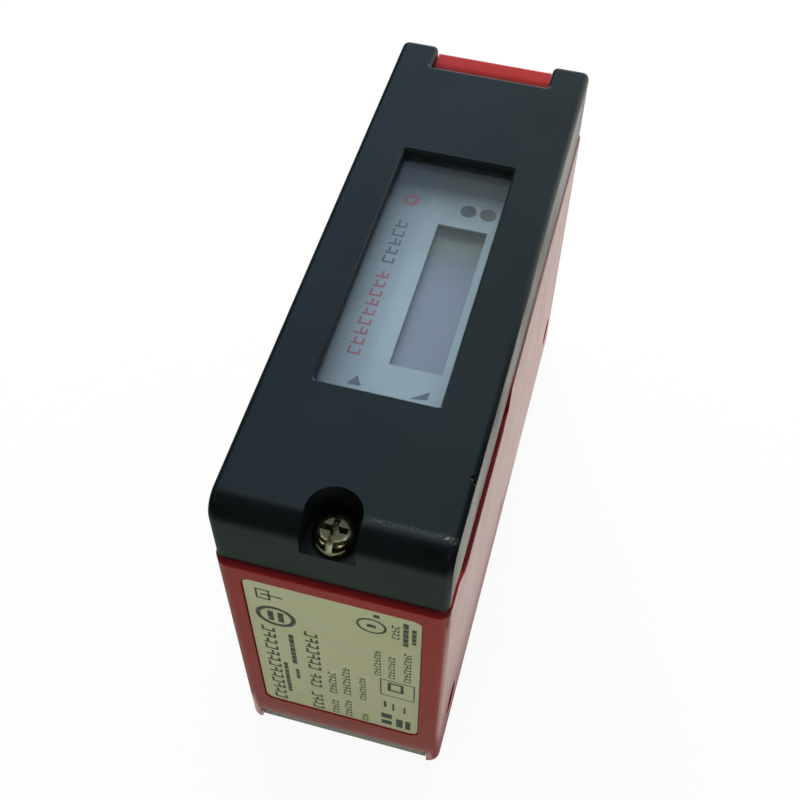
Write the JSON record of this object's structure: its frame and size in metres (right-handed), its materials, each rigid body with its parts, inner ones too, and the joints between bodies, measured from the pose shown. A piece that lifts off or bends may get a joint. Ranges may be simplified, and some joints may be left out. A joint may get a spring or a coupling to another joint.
{
  "type": "optical distance sensor",
  "caption": "Block-shaped optical distance sensor: red cast housing, front glass, hinged black rear cover with a window over display and keys, and a round plug connector.",
  "frame": {"origin": "middle of the front reference plane, in which the sensor's two front cheeks end", "axes": "+Z from the front glass to the rear cover, +Y from the label end to the hinge and plug end, +X to the plain side"},
  "size_m": [0.0304, 0.1035, 0.064],
  "materials": {
    "housing_paint": "glossy red paint on die-cast metal",
    "cover_plastic": "fine-grained black moulding",
    "window_clear": "clear pane, slightly hazy",
    "front_glass": "clear float glass with a green edge",
    "label_film": "cream label film",
    "panel_film": "silver-grey printed foil",
    "display_face": "grey display face, switched off",
    "key_plastic": "grey key caps",
    "light_plastic": "tinted light guide",
    "inner_plastic": "black inner moulding",
    "seal_rubber": "black sealing rubber",
    "board_green": "circuit board with solder mask",
    "chip_black": "component body",
    "capacitor_can": "drawn can",
    "screw_steel": "zinc-plated steel",
    "screw_nickel": "yellowish nickel-plated steel",
    "plug_nickel": "nickel-plated brass",
    "contact_gold": "gold-plated contacts",
    "lens_glass": "coated lens"
  },
  "bodies": {
    "base": {"housing": "housing_paint", "front_glass": "front_glass", "glass_seal": "seal_rubber", "type_label": "label_film", "optics_carrier": "inner_plastic", "optics_screws": "screw_steel", "transmitter_lens": "lens_glass", "transmitter_lens_ring": "inner_plastic", "receiver_lens": "lens_glass", "receiver_lens_ring": "inner_plastic", "laser_diode": "contact_gold", "receiver_sensor": "chip_black", "receiver_board": "board_green", "receiver_header": "chip_black", "main_board": "board_green", "main_board_screws": "screw_steel", "signal_processor": "chip_black", "power_capacitors": "capacitor_can", "board_header": "chip_black", "connector_shell": "plug_nickel", "connector_seal": "seal_rubber", "connector_nut": "plug_nickel", "connector_insert": "inner_plastic", "connector_pins": "contact_gold", "connector_board": "board_green", "panel_gasket": "seal_rubber", "panel_carrier": "inner_plastic", "panel_foil": "panel_film", "display_board": "board_green", "display_board_screws": "screw_steel", "oled_display": "display_face", "key_domes": "screw_steel", "status_leds": "chip_black", "green_light_guide": "light_plastic", "yellow_light_guide": "light_plastic", "hinge_pin": "screw_steel"},
    "cover": {"rear_cover": "cover_plastic", "cover_window": "window_clear"},
    "screw": {"cover_screw": "screw_nickel", "screw_retainer": "seal_rubber"},
    "key_up": {"key_up": "key_plastic"},
    "key_down": {"key_down": "key_plastic"},
    "key_escape": {"key_escape": "key_plastic"},
    "key_enter": {"key_enter": "key_plastic"}
  },
  "joints": [
    {"name": "cover_hinge", "type": "hinge", "parent": "base", "child": "cover", "pos_m": [0, 0.0422, 0.0601], "axis": [-1, 0, 0], "range_deg": [0, 95]},
    {"name": "screw_turn", "type": "hinge", "parent": "cover", "child": "screw", "pos_m": [0, -0.0415, 0.0583], "axis": [0, 0, 1], "continuous": true},
    {"name": "key_up_press", "type": "slide", "parent": "base", "child": "key_up", "axis": [0, 0, -1], "range_m": [0, 0.0004], "stiffness_N_per_m": 2500},
    {"name": "key_down_press", "type": "slide", "parent": "base", "child": "key_down", "axis": [0, 0, -1], "range_m": [0, 0.0004], "stiffness_N_per_m": 2500},
    {"name": "key_escape_press", "type": "slide", "parent": "base", "child": "key_escape", "axis": [0, 0, -1], "range_m": [0, 0.0004], "stiffness_N_per_m": 2500},
    {"name": "key_enter_press", "type": "slide", "parent": "base", "child": "key_enter", "axis": [0, 0, -1], "range_m": [0, 0.0004], "stiffness_N_per_m": 2500}
  ]
}
